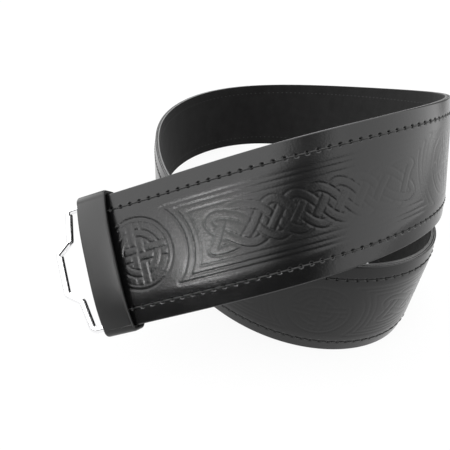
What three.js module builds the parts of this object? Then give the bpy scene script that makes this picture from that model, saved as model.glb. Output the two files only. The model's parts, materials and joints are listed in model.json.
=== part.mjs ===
// Kilt belt: a wide two-ply leather strap rolled into a loose coil that stands on its lower edge.
// Its outer end is turned back round the inner bar of a bent wire ring and carries a leather keeper.
// Lengths are millimetres, angles are degrees, and +Z is up from the floor that the coil stands on.

import * as THREE from 'three';

// Strap
const STRAP_WIDTH = 57;
const STRAP_LENGTH = 930;
const FACE_THICKNESS = 2;
const BACKING_THICKNESS = 1.7;
const EDGE_BEVEL = 0.45;
const TAIL_CORNER_RADIUS = 8;
const FLAP_LENGTH = 25;

// Wire ring, measured on the wire's middle line. Its sides reach out past the fold, its outer run
// slopes out from the corners, and a step in the middle stands out further for a buckle's hook.
const WIRE_DIAMETER = 3.2;
const RING_REACH = 8.5;
const RING_SLOPE = 2.5;
const RING_STEP = 6.5;
const RING_STEP_WIDTH = 18;
const RING_STEP_SPREAD = 4.5;
const RING_CORNER_RADIUS = 2.6;
const RING_STEP_RADIUS = 2;

// Keeper
const KEEPER_WIDTH = 13.6;
const KEEPER_THICKNESS = 2;
const KEEPER_BOW = 2.8;
const KEEPER_OVERHANG = 0.4;
const KEEPER_CORNER_RADIUS = 1.6;

// Fits
const CLEARANCE = 0.3;

// Fineness of the facets
const MARCH_STEPS_PER_WIDTH = 48;
const STATIONS_PER_WIDTH = 9;
const LEAST_STATION_SHARE = 0.2;
const FOLD_FACETS = 8;
const NECK_TAPER = 2;
const TAIL_FACETS = 4;
const WIRE_SIDES = 12;
const BEND_FACETS = 4;
const KEEPER_CORNER_FACETS = 4;
const KEEPER_BOW_FACETS = 16;
const KEEPER_BOW_POWER = 1.5;

// How the strap lies. A row's place is counted from the fold in strap widths. Bend is the turn to the
// left about the line across the strap, and twist the turn about the line along it, both in degrees
// for one strap width of run. Rates run straight from row to row.
const LIE = [
  { place: 'fold', at: 0, bend: 0, twist: 0 },
  { place: 'keeper', at: 0.5, bend: 0, twist: 0 },
  { place: 'front run', at: 1.5, bend: 24, twist: 14 },
  { place: 'front run', at: 3, bend: 35, twist: 9 },
  { place: 'right turn', at: 5, bend: 15, twist: 2 },
  { place: 'right turn', at: 6.5, bend: 21, twist: -3.5 },
  { place: 'far wall', at: 8, bend: 57, twist: -6.5 },
  { place: 'far wall', at: 9, bend: 34, twist: -7 },
  { place: 'far wall', at: 10, bend: 26, twist: 0 },
  { place: 'left turn', at: 11, bend: 12.5, twist: 0 },
  { place: 'inner layer', at: 12.5, bend: 23.5, twist: 0 },
  { place: 'inner layer', at: 14, bend: 46, twist: 0 },
  { place: 'inner turn', at: 15, bend: 76, twist: 0 },
  { place: 'tail', at: 16.3, bend: 72, twist: 0 },
];

// From this many widths on the strap stands upright on its edge, first heading this way.
const STANDS_AT = 10;
const STANDS_HEADING = 262;

const HALF_WIDTH = STRAP_WIDTH / 2;
const WIRE_RADIUS = WIRE_DIAMETER / 2;

// Depths are counted outward from the seam between the two plies.
const FACE_DEPTH = (CLEARANCE + FACE_THICKNESS) / 2;
const BACKING_DEPTH = -(CLEARANCE + BACKING_THICKNESS) / 2;
const BAR_DEPTH = -CLEARANCE / 2 - WIRE_RADIUS;
const FOLD_RADIUS = WIRE_RADIUS + CLEARANCE + FACE_THICKNESS / 2;
const BAR_AT = FOLD_RADIUS + FACE_THICKNESS / 2;
const FLAP_DEPTH = BACKING_DEPTH - BACKING_THICKNESS / 2 - CLEARANCE - FACE_THICKNESS / 2;
const FOLD_BACK_DEPTH = BAR_DEPTH - FOLD_RADIUS;

// The ring's sides run beside the narrowed neck of the face leather, inside the keeper.
const RING_HALF = HALF_WIDTH - WIRE_RADIUS;
const NECK_HALF = RING_HALF - WIRE_RADIUS - CLEARANCE;
const NECK_END = BAR_AT + WIRE_RADIUS + CLEARANCE;

function rateAt(widths, column) {
  const last = LIE.length - 1;
  let row = 0;
  while (row < last - 1 && LIE[row + 1].at < widths) {
    row += 1;
  }
  const from = LIE[row];
  const to = LIE[row + 1];
  const share = THREE.MathUtils.clamp((widths - from.at) / (to.at - from.at), 0, 1);
  return THREE.MathUtils.degToRad(THREE.MathUtils.lerp(from[column], to[column], share));
}

// A frame's turn carries X along the strap, -Y outward and Z across it, towards the upper edge.
function marchFrames(direction, widths) {
  const count = Math.ceil(widths * MARCH_STEPS_PER_WIDTH);
  const share = 1 / MARCH_STEPS_PER_WIDTH;
  const heading = THREE.MathUtils.degToRad(STANDS_HEADING);
  const turn = new THREE.Quaternion().setFromAxisAngle(new THREE.Vector3(0, 0, 1), heading);
  const point = new THREE.Vector3(0, 0, HALF_WIDTH);
  const frames = [{ point: point.clone(), turn: turn.clone() }];
  for (let step = 0; step < count; step += 1) {
    const middle = STANDS_AT + direction * (step + 0.5) * share;
    const rate = new THREE.Vector3(rateAt(middle, 'twist'), 0, rateAt(middle, 'bend'));
    const angle = direction * rate.length() * share;
    const axis = rate.normalize();
    const half = turn.clone().multiply(new THREE.Quaternion().setFromAxisAngle(axis, angle / 2));
    const along = new THREE.Vector3(1, 0, 0).applyQuaternion(half);
    point.addScaledVector(along, direction * share * STRAP_WIDTH);
    turn.multiply(new THREE.Quaternion().setFromAxisAngle(axis, angle));
    frames.push({ point: point.clone(), turn: turn.clone() });
  }
  return frames;
}

const TOWARDS_FOLD = marchFrames(-1, STANDS_AT);
const TOWARDS_TAIL = marchFrames(1, STRAP_LENGTH / STRAP_WIDTH - STANDS_AT);

// The strap's frame at a length from the fold. Lengths before the fold run straight on.
function frameAt(length) {
  const steps = (length / STRAP_WIDTH - STANDS_AT) * MARCH_STEPS_PER_WIDTH;
  const frames = steps < 0 ? TOWARDS_FOLD : TOWARDS_TAIL;
  const place = Math.min(Math.abs(steps), frames.length - 1);
  const low = Math.min(Math.floor(place), frames.length - 2);
  const share = place - low;
  const point = frames[low].point.clone().lerp(frames[low + 1].point, share);
  const turn = frames[low].turn.clone().slerp(frames[low + 1].turn, share);
  const frame = {
    point,
    along: new THREE.Vector3(1, 0, 0).applyQuaternion(turn),
    out: new THREE.Vector3(0, -1, 0).applyQuaternion(turn),
    across: new THREE.Vector3(0, 0, 1).applyQuaternion(turn),
  };
  frame.point.addScaledVector(frame.along, Math.min(length, 0));
  return frame;
}

function frameAtDepth(length, depth) {
  const frame = frameAt(length);
  frame.point.addScaledVector(frame.out, depth);
  return frame;
}

// Half the strap's width at a length, with its tail's corners rounded.
function halfWidthAt(length) {
  const left = STRAP_LENGTH - length;
  if (left >= TAIL_CORNER_RADIUS) {
    return HALF_WIDTH;
  }
  const inset = TAIL_CORNER_RADIUS - left;
  return HALF_WIDTH - TAIL_CORNER_RADIUS + Math.sqrt(TAIL_CORNER_RADIUS ** 2 - inset ** 2);
}

// Lengths from start to the tail: even stations, then closer ones round the tail's corners.
function stationLengths(start) {
  const spacing = STRAP_WIDTH / STATIONS_PER_WIDTH;
  const corner = STRAP_LENGTH - TAIL_CORNER_RADIUS;
  const lengths = [start];
  const least = LEAST_STATION_SHARE * spacing;
  for (let length = Math.ceil((start + least) / spacing) * spacing; length < corner - least; length += spacing) {
    lengths.push(length);
  }
  for (let facet = 0; facet <= TAIL_FACETS; facet += 1) {
    const angle = (facet / TAIL_FACETS) * Math.PI / 2;
    lengths.push(corner + TAIL_CORNER_RADIUS * Math.sin(angle));
  }
  return lengths;
}

function geometryFrom(points, faces) {
  const geometry = new THREE.BufferGeometry();
  geometry.setAttribute('position', new THREE.Float32BufferAttribute(points.flatMap((p) => p.toArray()), 3));
  geometry.setIndex(faces.flat());
  geometry.computeVertexNormals();
  return geometry;
}

function quad(a, b, c, d) {
  return [a, b, c, a, c, d];
}

// A leather ply swept through its frames, with a bevel along both edges of its outer side.
function plyGeometry(frames, thickness, bevelSide) {
  const points = [];
  const faces = [];
  const columns = 5;
  for (const frame of frames) {
    const places = [-frame.half, -frame.half + EDGE_BEVEL, 0, frame.half - EDGE_BEVEL, frame.half];
    for (const side of [-1, 1]) {
      places.forEach((place, column) => {
        const atEdge = column === 0 || column === columns - 1;
        const bevel = atEdge && side === bevelSide ? EDGE_BEVEL : 0;
        const point = frame.point.clone();
        point.addScaledVector(frame.across, place);
        point.addScaledVector(frame.out, side * (thickness / 2 - bevel));
        points.push(point);
      });
    }
  }
  const index = (station, side, column) => (station * 2 + side) * columns + column;
  for (let station = 0; station < frames.length - 1; station += 1) {
    const next = station + 1;
    for (let column = 0; column < columns - 1; column += 1) {
      const beside = column + 1;
      faces.push(quad(
        index(station, 1, column), index(next, 1, column), index(next, 1, beside), index(station, 1, beside),
      ));
      faces.push(quad(
        index(station, 0, column), index(station, 0, beside), index(next, 0, beside), index(next, 0, column),
      ));
    }
    const top = columns - 1;
    faces.push(quad(index(station, 0, 0), index(next, 0, 0), index(next, 1, 0), index(station, 1, 0)));
    faces.push(quad(index(station, 1, top), index(next, 1, top), index(next, 0, top), index(station, 0, top)));
  }
  const end = frames.length - 1;
  for (let column = 0; column < columns - 1; column += 1) {
    const beside = column + 1;
    faces.push(quad(index(0, 0, column), index(0, 1, column), index(0, 1, beside), index(0, 0, beside)));
    faces.push(quad(index(end, 0, beside), index(end, 1, beside), index(end, 1, column), index(end, 0, column)));
  }
  return geometryFrom(points, faces);
}

// The turned-back flap, from its free end to the fold, lying on the backing.
function flapFrames() {
  const frames = [];
  const settled = NECK_END + NECK_TAPER;
  const places = [
    { length: FLAP_LENGTH, share: 0 },
    { length: settled, share: 0 },
    { length: (settled + BAR_AT) / 2, share: 0.5 },
  ];
  for (const place of places) {
    const depth = THREE.MathUtils.lerp(FLAP_DEPTH, FOLD_BACK_DEPTH, place.share);
    const frame = frameAtDepth(place.length, depth);
    frame.along.negate();
    frame.out.negate();
    frame.half = NECK_HALF;
    frames.push(frame);
  }
  return frames;
}

// The fold goes half round the ring's inner bar.
function foldFrames() {
  const frames = [];
  for (let facet = 0; facet <= FOLD_FACETS; facet += 1) {
    const angle = (facet / FOLD_FACETS) * Math.PI;
    const frame = frameAtDepth(BAR_AT, BAR_DEPTH);
    const outward = frame.out.clone().multiplyScalar(-Math.cos(angle)).addScaledVector(frame.along, -Math.sin(angle));
    frame.point.addScaledVector(outward, FOLD_RADIUS);
    frame.out = outward;
    frame.half = NECK_HALF;
    frames.push(frame);
  }
  return frames;
}

function faceFrames() {
  const frames = [...flapFrames(), ...foldFrames()];
  const neck = frameAtDepth(NECK_END, FACE_DEPTH);
  neck.half = NECK_HALF;
  frames.push(neck);
  for (const length of stationLengths(NECK_END + NECK_TAPER)) {
    const frame = frameAtDepth(length, FACE_DEPTH);
    frame.half = halfWidthAt(length);
    frames.push(frame);
  }
  return frames;
}

function backingFrames() {
  return stationLengths(NECK_END).map((length) => {
    const frame = frameAtDepth(length, BACKING_DEPTH);
    frame.half = halfWidthAt(length);
    return frame;
  });
}

// Rounds each corner of a closed outline with an arc of its own radius.
function roundedOutline(corners, facets) {
  const points = [];
  corners.forEach((corner, place) => {
    const before = corners[(place + corners.length - 1) % corners.length].at;
    const after = corners[(place + 1) % corners.length].at;
    const back = before.clone().sub(corner.at).normalize();
    const ahead = after.clone().sub(corner.at).normalize();
    const half = Math.acos(THREE.MathUtils.clamp(back.dot(ahead), -1, 1)) / 2;
    const inward = back.clone().add(ahead).normalize();
    const centre = corner.at.clone().addScaledVector(inward, corner.radius / Math.sin(half));
    const start = corner.at.clone().addScaledVector(back, corner.radius / Math.tan(half)).sub(centre);
    const sweep = Math.PI - 2 * half;
    const turn = -Math.sign(back.cross(ahead));
    for (let facet = 0; facet <= facets; facet += 1) {
      points.push(start.clone().rotateAround(new THREE.Vector2(), turn * sweep * facet / facets).add(centre));
    }
  });
  return points;
}

// The wire's middle line, as lengths along the strap and places across it.
function ringOutline() {
  const neck = -RING_REACH - RING_SLOPE;
  const hook = neck - RING_STEP;
  const hookHalf = RING_STEP_WIDTH / 2;
  const neckHalf = hookHalf + RING_STEP_SPREAD;
  const corner = (x, y, radius) => ({ at: new THREE.Vector2(x, y), radius });
  return roundedOutline([
    corner(BAR_AT, RING_HALF, WIRE_RADIUS),
    corner(-RING_REACH, RING_HALF, RING_CORNER_RADIUS),
    corner(neck, neckHalf, RING_STEP_RADIUS),
    corner(hook, hookHalf, RING_STEP_RADIUS),
    corner(hook, -hookHalf, RING_STEP_RADIUS),
    corner(neck, -neckHalf, RING_STEP_RADIUS),
    corner(-RING_REACH, -RING_HALF, RING_CORNER_RADIUS),
    corner(BAR_AT, -RING_HALF, WIRE_RADIUS),
  ], BEND_FACETS);
}

// A round wire swept round a closed flat outline in the strap's own plane.
function ringGeometry() {
  const outline = ringOutline();
  const base = frameAtDepth(0, BAR_DEPTH);
  const points = [];
  const faces = [];
  const count = outline.length;
  outline.forEach((at, place) => {
    const before = outline[(place + count - 1) % count];
    const after = outline[(place + 1) % count];
    const arriving = at.clone().sub(before).normalize();
    const leaving = after.clone().sub(at).normalize();
    const along = arriving.clone().add(leaving).normalize();
    const side = new THREE.Vector2(-along.y, along.x).divideScalar(along.dot(leaving));
    for (let spoke = 0; spoke < WIRE_SIDES; spoke += 1) {
      const angle = ((spoke + 0.5) / WIRE_SIDES) * 2 * Math.PI;
      const reach = WIRE_RADIUS * Math.cos(angle);
      const point = base.point.clone();
      point.addScaledVector(base.along, at.x + side.x * reach);
      point.addScaledVector(base.across, at.y + side.y * reach);
      point.addScaledVector(base.out, WIRE_RADIUS * Math.sin(angle));
      points.push(point);
    }
  });
  for (let place = 0; place < count; place += 1) {
    const next = (place + 1) % count;
    for (let spoke = 0; spoke < WIRE_SIDES; spoke += 1) {
      const beside = (spoke + 1) % WIRE_SIDES;
      faces.push(quad(
        place * WIRE_SIDES + spoke,
        place * WIRE_SIDES + beside,
        next * WIRE_SIDES + beside,
        next * WIRE_SIDES + spoke,
      ));
    }
  }
  return geometryFrom(points, faces);
}

// The keeper's outline round the strap, as places across it and depths, grown outward by a wall.
function keeperOutline(grow) {
  const side = HALF_WIDTH + CLEARANCE + grow;
  const front = FACE_DEPTH + FACE_THICKNESS / 2 + CLEARANCE + grow;
  const back = FOLD_BACK_DEPTH - FACE_THICKNESS / 2 - CLEARANCE - grow;
  const radius = KEEPER_CORNER_RADIUS + grow;
  const points = [];
  const round = (x, y, from) => {
    for (let facet = 0; facet <= KEEPER_CORNER_FACETS; facet += 1) {
      const angle = from + (facet / KEEPER_CORNER_FACETS) * Math.PI / 2;
      points.push(new THREE.Vector2(x + radius * Math.cos(angle), y + radius * Math.sin(angle)));
    }
  };
  round(side - radius, back + radius, -Math.PI / 2);
  round(side - radius, front - radius, 0);
  for (let facet = 1; facet < KEEPER_BOW_FACETS; facet += 1) {
    const share = 1 - 2 * facet / KEEPER_BOW_FACETS;
    const bow = KEEPER_BOW * Math.cos(share * Math.PI / 2) ** KEEPER_BOW_POWER;
    points.push(new THREE.Vector2(share * (side - radius), front + bow));
  }
  round(-side + radius, front - radius, Math.PI / 2);
  round(-side + radius, back + radius, Math.PI);
  return points;
}

function keeperGeometry() {
  const shape = new THREE.Shape(keeperOutline(KEEPER_THICKNESS));
  shape.holes.push(new THREE.Path(keeperOutline(0)));
  const geometry = new THREE.ExtrudeGeometry(shape, { depth: KEEPER_WIDTH, bevelEnabled: false });
  const frame = frameAt(-KEEPER_OVERHANG);
  const basis = new THREE.Matrix4().makeBasis(frame.across, frame.out, frame.along);
  basis.setPosition(frame.point);
  return geometry.applyMatrix4(basis);
}

const leatherBlack = new THREE.MeshStandardMaterial({ color: 0x232324, roughness: 0.5, metalness: 0 });
const suedeBlack = new THREE.MeshStandardMaterial({ color: 0x19191a, roughness: 0.95, metalness: 0 });
const keeperBlack = new THREE.MeshStandardMaterial({ color: 0x2c2c2e, roughness: 0.6, metalness: 0 });
const chrome = new THREE.MeshStandardMaterial({ color: 0xe2e4e6, roughness: 0.08, metalness: 1 });

function namedMesh(name, geometry, material) {
  const mesh = new THREE.Mesh(geometry, material);
  mesh.name = name;
  return mesh;
}

const belt = new THREE.Group();
belt.name = 'kilt_belt';
belt.add(
  namedMesh('face_leather', plyGeometry(faceFrames(), FACE_THICKNESS, 1), leatherBlack),
  namedMesh('backing_leather', plyGeometry(backingFrames(), BACKING_THICKNESS, -1), suedeBlack),
  namedMesh('keeper_loop', keeperGeometry(), keeperBlack),
  namedMesh('hook_ring', ringGeometry(), chrome),
);

// The origin is on the floor, under the middle of the whole coil.
const bounds = new THREE.Box3().setFromObject(belt, true);
const middle = bounds.getCenter(new THREE.Vector3());
belt.position.set(-middle.x, -middle.y, -bounds.min.z);

export default belt;
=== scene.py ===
"""Dresses the rolled kilt belt: embossed face leather, backing, burnished edges, stitching,
keeper, chrome hook ring, and a white studio.

The strap is drawn along its own route. Places on it are given as a length from the fold where it
turns round the ring, a height across it from its middle line, and a depth outward from the seam
between its two plies. Sizes are in metres, and the tables of the embossing's lines hold shares of
the pattern's sizes.
"""

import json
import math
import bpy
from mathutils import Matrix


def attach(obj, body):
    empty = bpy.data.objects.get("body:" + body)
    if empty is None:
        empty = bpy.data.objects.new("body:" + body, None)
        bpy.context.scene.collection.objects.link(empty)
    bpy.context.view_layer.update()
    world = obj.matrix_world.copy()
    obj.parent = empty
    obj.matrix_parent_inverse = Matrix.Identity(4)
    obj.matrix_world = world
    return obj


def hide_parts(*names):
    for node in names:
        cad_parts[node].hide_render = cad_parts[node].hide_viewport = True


bl_info = {
    "name": "Kilt Belt",
    "version": (1, 0, 0),
    "blender": (4, 5, 0),
    "location": "3D View > Sidebar > Kilt Belt",
    "description": "Embossed two-ply leather kilt belt, rolled up, with its keeper and hook ring",
    "category": "Add Mesh",
}

import bpy
import numpy as np
from mathutils import Matrix, Vector

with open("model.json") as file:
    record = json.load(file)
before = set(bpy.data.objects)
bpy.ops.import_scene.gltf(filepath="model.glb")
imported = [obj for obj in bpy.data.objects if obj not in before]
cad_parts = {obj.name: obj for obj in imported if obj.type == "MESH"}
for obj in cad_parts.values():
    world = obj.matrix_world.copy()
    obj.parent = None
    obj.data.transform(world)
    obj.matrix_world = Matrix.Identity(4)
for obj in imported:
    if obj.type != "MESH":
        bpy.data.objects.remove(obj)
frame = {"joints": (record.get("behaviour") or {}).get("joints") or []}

MM = 0.001

# Stitching pulls the face down. From this far inside the stitches it falls towards its edge by
# this slope, which it takes up gradually.
EDGE_LEAD = 4.8 * MM
EDGE_SLOPE = 0.11
EDGE_SOFTNESS = 3 * MM

# Where the strap goes. A row's place is counted from the fold in strap widths. Bend turns it to the
# left about the line across it and twist about the line along it, in degrees for a width of run.
LIE = (
    {"place": "fold", "at": 0, "bend": 0, "twist": 0},
    {"place": "keeper", "at": 0.5, "bend": 0, "twist": 0},
    {"place": "front run", "at": 1.5, "bend": 24, "twist": 14},
    {"place": "front run", "at": 3, "bend": 35, "twist": 9},
    {"place": "right turn", "at": 5, "bend": 15, "twist": 2},
    {"place": "right turn", "at": 6.5, "bend": 21, "twist": -3.5},
    {"place": "far wall", "at": 8, "bend": 57, "twist": -6.5},
    {"place": "far wall", "at": 9, "bend": 34, "twist": -7},
    {"place": "far wall", "at": 10, "bend": 26, "twist": 0},
    {"place": "left turn", "at": 11, "bend": 12.5, "twist": 0},
    {"place": "inner layer", "at": 12.5, "bend": 23.5, "twist": 0},
    {"place": "inner layer", "at": 14, "bend": 46, "twist": 0},
    {"place": "inner turn", "at": 15, "bend": 76, "twist": 0},
    {"place": "tail", "at": 16.3, "bend": 72, "twist": 0},
)

# The strap stands upright on its edge from this many widths on, first heading this way.
STANDS_AT = 10
STANDS_HEADING = math.radians(262)
STEPS_PER_WIDTH = 48

# The face leather is drawn in three stretches, with a finer mesh where it shows best.
FACE_STRETCHES = (
    {"piece": "belt_face_front", "end": 150 * MM, "fineness": 0.36 * MM},
    {"piece": "belt_face_back", "end": 545 * MM, "fineness": 0.5 * MM},
    {"piece": "belt_face_inner", "end": None, "fineness": 0.5 * MM},
)
# Mesh spacing on the plain parts, and the band that the stitches lie in, from the strap's edge.
FACE_COARSENESS = 1.1 * MM
BACKING_FINENESS = 1.5 * MM
BACKING_COARSENESS = 1.6 * MM
BACKING_MIDDLE = 16 * MM
EDGE_FINENESS = 1.4 * MM
STITCH_BAND = (4.4 * MM, 9.6 * MM)

# Facets of a rounded edge, a tail corner, the fold, the keeper's corner, front, back and edge, a
# ring bend, and round the wire and the thread. The last is the points along a stitch.
EDGE_FACETS = 4
TAIL_FACETS = 13
FOLD_FACETS = 20
KEEPER_FACETS = 10
KEEPER_FRONT_FACETS = 80
KEEPER_BACK_FACETS = 40
KEEPER_EDGE_FACETS = 4
BEND_FACETS = 12
WIRE_SIDES = 28
THREAD_SIDES = 8
STITCH_POINTS = 9
# Stations along the flap and along its neck, and points across a ply's underside and tail.
FLAP_STATIONS = 12
NECK_STATIONS = 6
UNDERSIDE_POINTS = 5
TAIL_POINTS = 24

# The neck reaches the strap's full thickness and width this far past the ring's bar.
NECK_RUN = 2 * MM
# The cut edge's strip reaches this far in over the ply and stands this proud of it.
STRIP_LAP = 0.3 * MM
STRIP_PROUD = 0.05 * MM
# How flat the keeper's front is: a higher power bends it more towards its ends.
KEEPER_BOW_POWER = 3.2

# The embossing, drawn this finely, with the strap's fine mesh reaching this far past the frame.
# Heights are shares of the pressed lines' depth, and a strand's crown falls by a high power from
# its middle to its sides.
RELIEF_FINENESS = 0.2 * MM
RELIEF_MARGIN = 2.6 * MM
CROWN_FALL = 0.12
CROWN_POWER = 4
SMOOTHING_PASSES = 2
# In the knot: how many nodes lie between its middle and its ends, the points to a stretch of its
# strand, its groove as a share of a strand's width, and how far the ground lies below.
KNOT_NODES = 3
KNOT_POINTS = 8
KNOT_GROOVE = 0.24
KNOT_GROUND = 0.08
# Half the width of the line pressed beside a strand, as a share of the groove.
KNOT_PRESSED = 0.9
# A stretch's end ranks below every level, so that the next stretch takes over there.
STRETCH_END = -5
# A crossing counts as a middle one within this share of the knot's half height.
KNOT_MIDDLE = 0.4
# The knot's panel, in nodes along without its soft end and with it, as a share of the frame's half
# height, and how soft its end is.
PANEL_NODES = 5.5
PANEL_REACH = 5.6
PANEL_HEIGHT = 0.76
PANEL_SOFTNESS = 2 * MM

# In the medallion, as shares of a strand's width: half a strand, its groove, and each arm's middle.
MEDALLION_STRAND = 0.44
MEDALLION_GROOVE = 0.2
MEDALLION_ARM = 0.56
# As shares of the rim's radius: how far the medallion's lines reach, the woven ring, the woven
# field's edge and the line inside the rim.
MEDALLION_REACH = 1.1
MEDALLION_RING = 0.56
MEDALLION_FIELD = 0.86
MEDALLION_INNER_LINE = 0.88
# The inner line's depth, and half its width as a share of a groove. Half the rim line's width is
# this much more than half a groove.
MEDALLION_INNER_DEPTH = 0.6
MEDALLION_INNER_WIDTH = 0.7
RIM_LINE = 0.45 * MM

# The lines of the frame that runs round each medallion and along the panel. Radius is a share of
# the medallion's, height a share of the frame's, and width a share of the line's own.
FRAME_LINES = (
    {"line": "inner", "radius": 1.43, "height": 1.15, "depth": 0.85, "width": 1.0},
    {"line": "middle", "radius": 1.62, "height": 1.0, "depth": 1.0, "width": 0.8},
    {"line": "outer", "radius": 1.81, "height": 0.81, "depth": 0.75, "width": 0.9},
)
# Half a frame line's width as a share of a strand's, the most of an arc's radius that its line
# rises to, and the plain leather drawn past the frame.
FRAME_LINE = 0.21
FRAME_ARC_RISE = 0.98
FRAME_MARGIN = 4 * MM

# A stitch hole's half width, softness and depth, as shares of its diameter.
HOLE_HALF = 0.4
HOLE_SOFTNESS = 0.26
HOLE_DEPTH = 0.6

# A stitch arches by this power of a sine. Its ends have this share of its thickness, and it is this
# flat. Its ends lie this deep, and its middle this much higher, in thread radii.
STITCH_ARCH = 0.6
STITCH_ENDS = 0.45
STITCH_FLATNESS = 0.5
STITCH_SUNK = 1.6
STITCH_RISE = 1.3

# Noise lies mostly between these values.
NOISE_RANGE = (0.3, 0.7)
# The leather's roughness falls and rises by this much. Its creases are this many times as large as
# its grain, and its pores and creases are this deep, as shares of it.
POLISH_FALL = 0.02
POLISH_RISE = 0.03
CREASE_SIZE = 2.4
PORE_DEPTH = 0.03
CREASE_DEPTH = 0.035

# The left end of the panel's knot, from the node where it opens out round to the same node.
# Places are shares of the knot's node spacing from the panel's middle, and of its half height.
KNOT_END = (
    {"part": "upper strand", "along": -3.0, "across": 0.0},
    {"part": "upper strand", "along": -3.3, "across": 0.29},
    {"part": "upper strand", "along": -3.7, "across": 0.62},
    {"part": "upper strand", "along": -4.2, "across": 0.87},
    {"part": "upper strand", "along": -4.66, "across": 0.94},
    {"part": "upper corner", "along": -4.95, "across": 0.68},
    {"part": "inner strand", "along": -4.84, "across": 0.3},
    {"part": "inner strand", "along": -4.55, "across": -0.06},
    {"part": "inner strand", "along": -4.2, "across": -0.38},
    {"part": "inner strand", "along": -3.82, "across": -0.73},
    {"part": "inner strand", "along": -3.4, "across": -0.97},
    {"part": "inner strand", "along": -3.0, "across": -1.0},
)
KNOT_LOWER_END = (
    {"part": "outer strand", "along": -3.0, "across": 1.0},
    {"part": "outer strand", "along": -3.45, "across": 1.14},
    {"part": "outer strand", "along": -3.9, "across": 1.06},
    {"part": "outer strand", "along": -4.26, "across": 0.64},
    {"part": "outer strand", "along": -4.56, "across": -0.02},
    {"part": "outer strand", "along": -4.84, "across": -0.6},
    {"part": "lower corner", "along": -5.06, "across": -0.92},
    {"part": "lower strand", "along": -4.66, "across": -1.02},
    {"part": "lower strand", "along": -4.1, "across": -0.96},
    {"part": "lower strand", "along": -3.64, "across": -0.78},
    {"part": "lower strand", "along": -3.3, "across": -0.42},
    {"part": "lower strand", "along": -3.0, "across": -0.04},
)


def turn(rate, share):
    """The turn by a rate vector times a share, as a matrix."""
    angle = float(np.linalg.norm(rate)) * share
    if angle == 0:
        return np.eye(3)
    x, y, z = rate / np.linalg.norm(rate)
    cross = np.array(((0, -z, y), (z, 0, -x), (-y, x, 0)))
    return np.eye(3) + math.sin(angle) * cross + (1 - math.cos(angle)) * (cross @ cross)


class Route:
    """The strap's line and the way that it faces, at any length from the fold."""

    def __init__(self, width, length, ring_middle, bar_at, bar_depth):
        self.width = width
        self.ahead = self.march(-1, STANDS_AT)
        self.behind = self.march(1, length / width - STANDS_AT)
        self.shift = np.zeros(3)
        bar = self.at([bar_at])
        self.shift = np.array(ring_middle) - (bar["point"] + bar["out"] * bar_depth)[0]

    def march(self, direction, widths):
        """Points and facings from the place where the strap stands upright, one way along it."""
        places = [row["at"] for row in LIE]
        bends = [row["bend"] for row in LIE]
        twists = [row["twist"] for row in LIE]
        share = direction / STEPS_PER_WIDTH
        facing = turn(np.array((0, 0, 1.0)), STANDS_HEADING)
        point = np.array((0, 0, self.width / 2))
        points, facings = [point], [facing]
        for step in range(math.ceil(widths * STEPS_PER_WIDTH - 1e-9)):
            middle = STANDS_AT + share * (step + 0.5)
            twist = np.interp(middle, places, twists)
            bend = np.interp(middle, places, bends)
            rate = np.radians(np.array((twist, 0, bend)))
            halfway = facing @ turn(rate, share / 2)
            point = point + halfway[:, 0] * share * self.width
            facing = facing @ turn(rate, share)
            points.append(point)
            facings.append(facing)
        return np.array(points), np.array(facings)

    def at(self, lengths):
        """Points and unit directions along, out and across, one row for each length."""
        lengths = np.asarray(lengths, float)
        steps = (lengths / self.width - STANDS_AT) * STEPS_PER_WIDTH
        points = np.empty((len(lengths), 3))
        facings = np.empty((len(lengths), 3, 3))
        for chosen, (known, faces) in ((steps < 0, self.ahead), (steps >= 0, self.behind)):
            place = np.minimum(np.abs(steps[chosen]), len(known) - 1)
            low = np.minimum(place.astype(int), len(known) - 2)
            share = (place - low)[:, None]
            points[chosen] = known[low] * (1 - share) + known[low + 1] * share
            share = share[:, :, None]
            facings[chosen] = faces[low] * (1 - share) + faces[low + 1] * share
        facings /= np.linalg.norm(facings, axis=1, keepdims=True)
        along = facings[:, :, 0]
        points = points + along * np.minimum(lengths, 0)[:, None]
        return {
            "point": points + self.shift,
            "along": along,
            "out": -facings[:, :, 1],
            "across": facings[:, :, 2],
        }


def metres(name, description, default):
    """A size in the panel."""
    return bpy.props.FloatProperty(
        name=name, description=description, default=default, unit="LENGTH"
    )


def tint(name, description, default):
    """A colour in the panel."""
    return bpy.props.FloatVectorProperty(
        name=name, description=description, default=default, subtype="COLOR", size=3, min=0, max=1
    )


class StrapSizes(bpy.types.PropertyGroup):
    """Sizes of the two-ply strap"""

    width: metres("Width", "Width of the strap", 0.057)
    length: metres("Length", "Length from the fold to the tail", 0.93)
    face_thickness: metres("Face", "Thickness of the embossed ply", 0.002)
    backing_thickness: metres("Backing", "Thickness of the backing ply", 0.0017)
    clearance: metres("Clearance", "Gap between pieces that touch", 0.0003)
    edge_radius: metres("Edge radius", "Rounding of the cut edges", 0.0005)
    tail_radius: metres("Tail corners", "Radius of the tail's corners", 0.008)
    flap_length: metres("Flap", "Length of the turned-back flap", 0.025)


class PatternSizes(bpy.types.PropertyGroup):
    """Sizes of the embossed pattern"""

    first_medallion: metres(
        "First medallion", "Length from the fold to the first medallion's middle", 0.0218
    )
    spacing: metres("Spacing", "Length from medallion to medallion", 0.1537)
    medallion_radius: metres("Medallion", "Radius of the medallion's rim", 0.015)
    frame_height: metres("Frame height", "Half height of the panel's frame", 0.0141)
    node_spacing: metres("Knot spacing", "Length between the knot's crossings", 0.009)
    knot_height: metres("Knot height", "Half height of the knot", 0.0074)
    strand_width: metres("Strand", "Width of a strand", 0.0029)
    groove_depth: metres("Depth", "Depth of the pressed lines", 0.00013)


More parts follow.
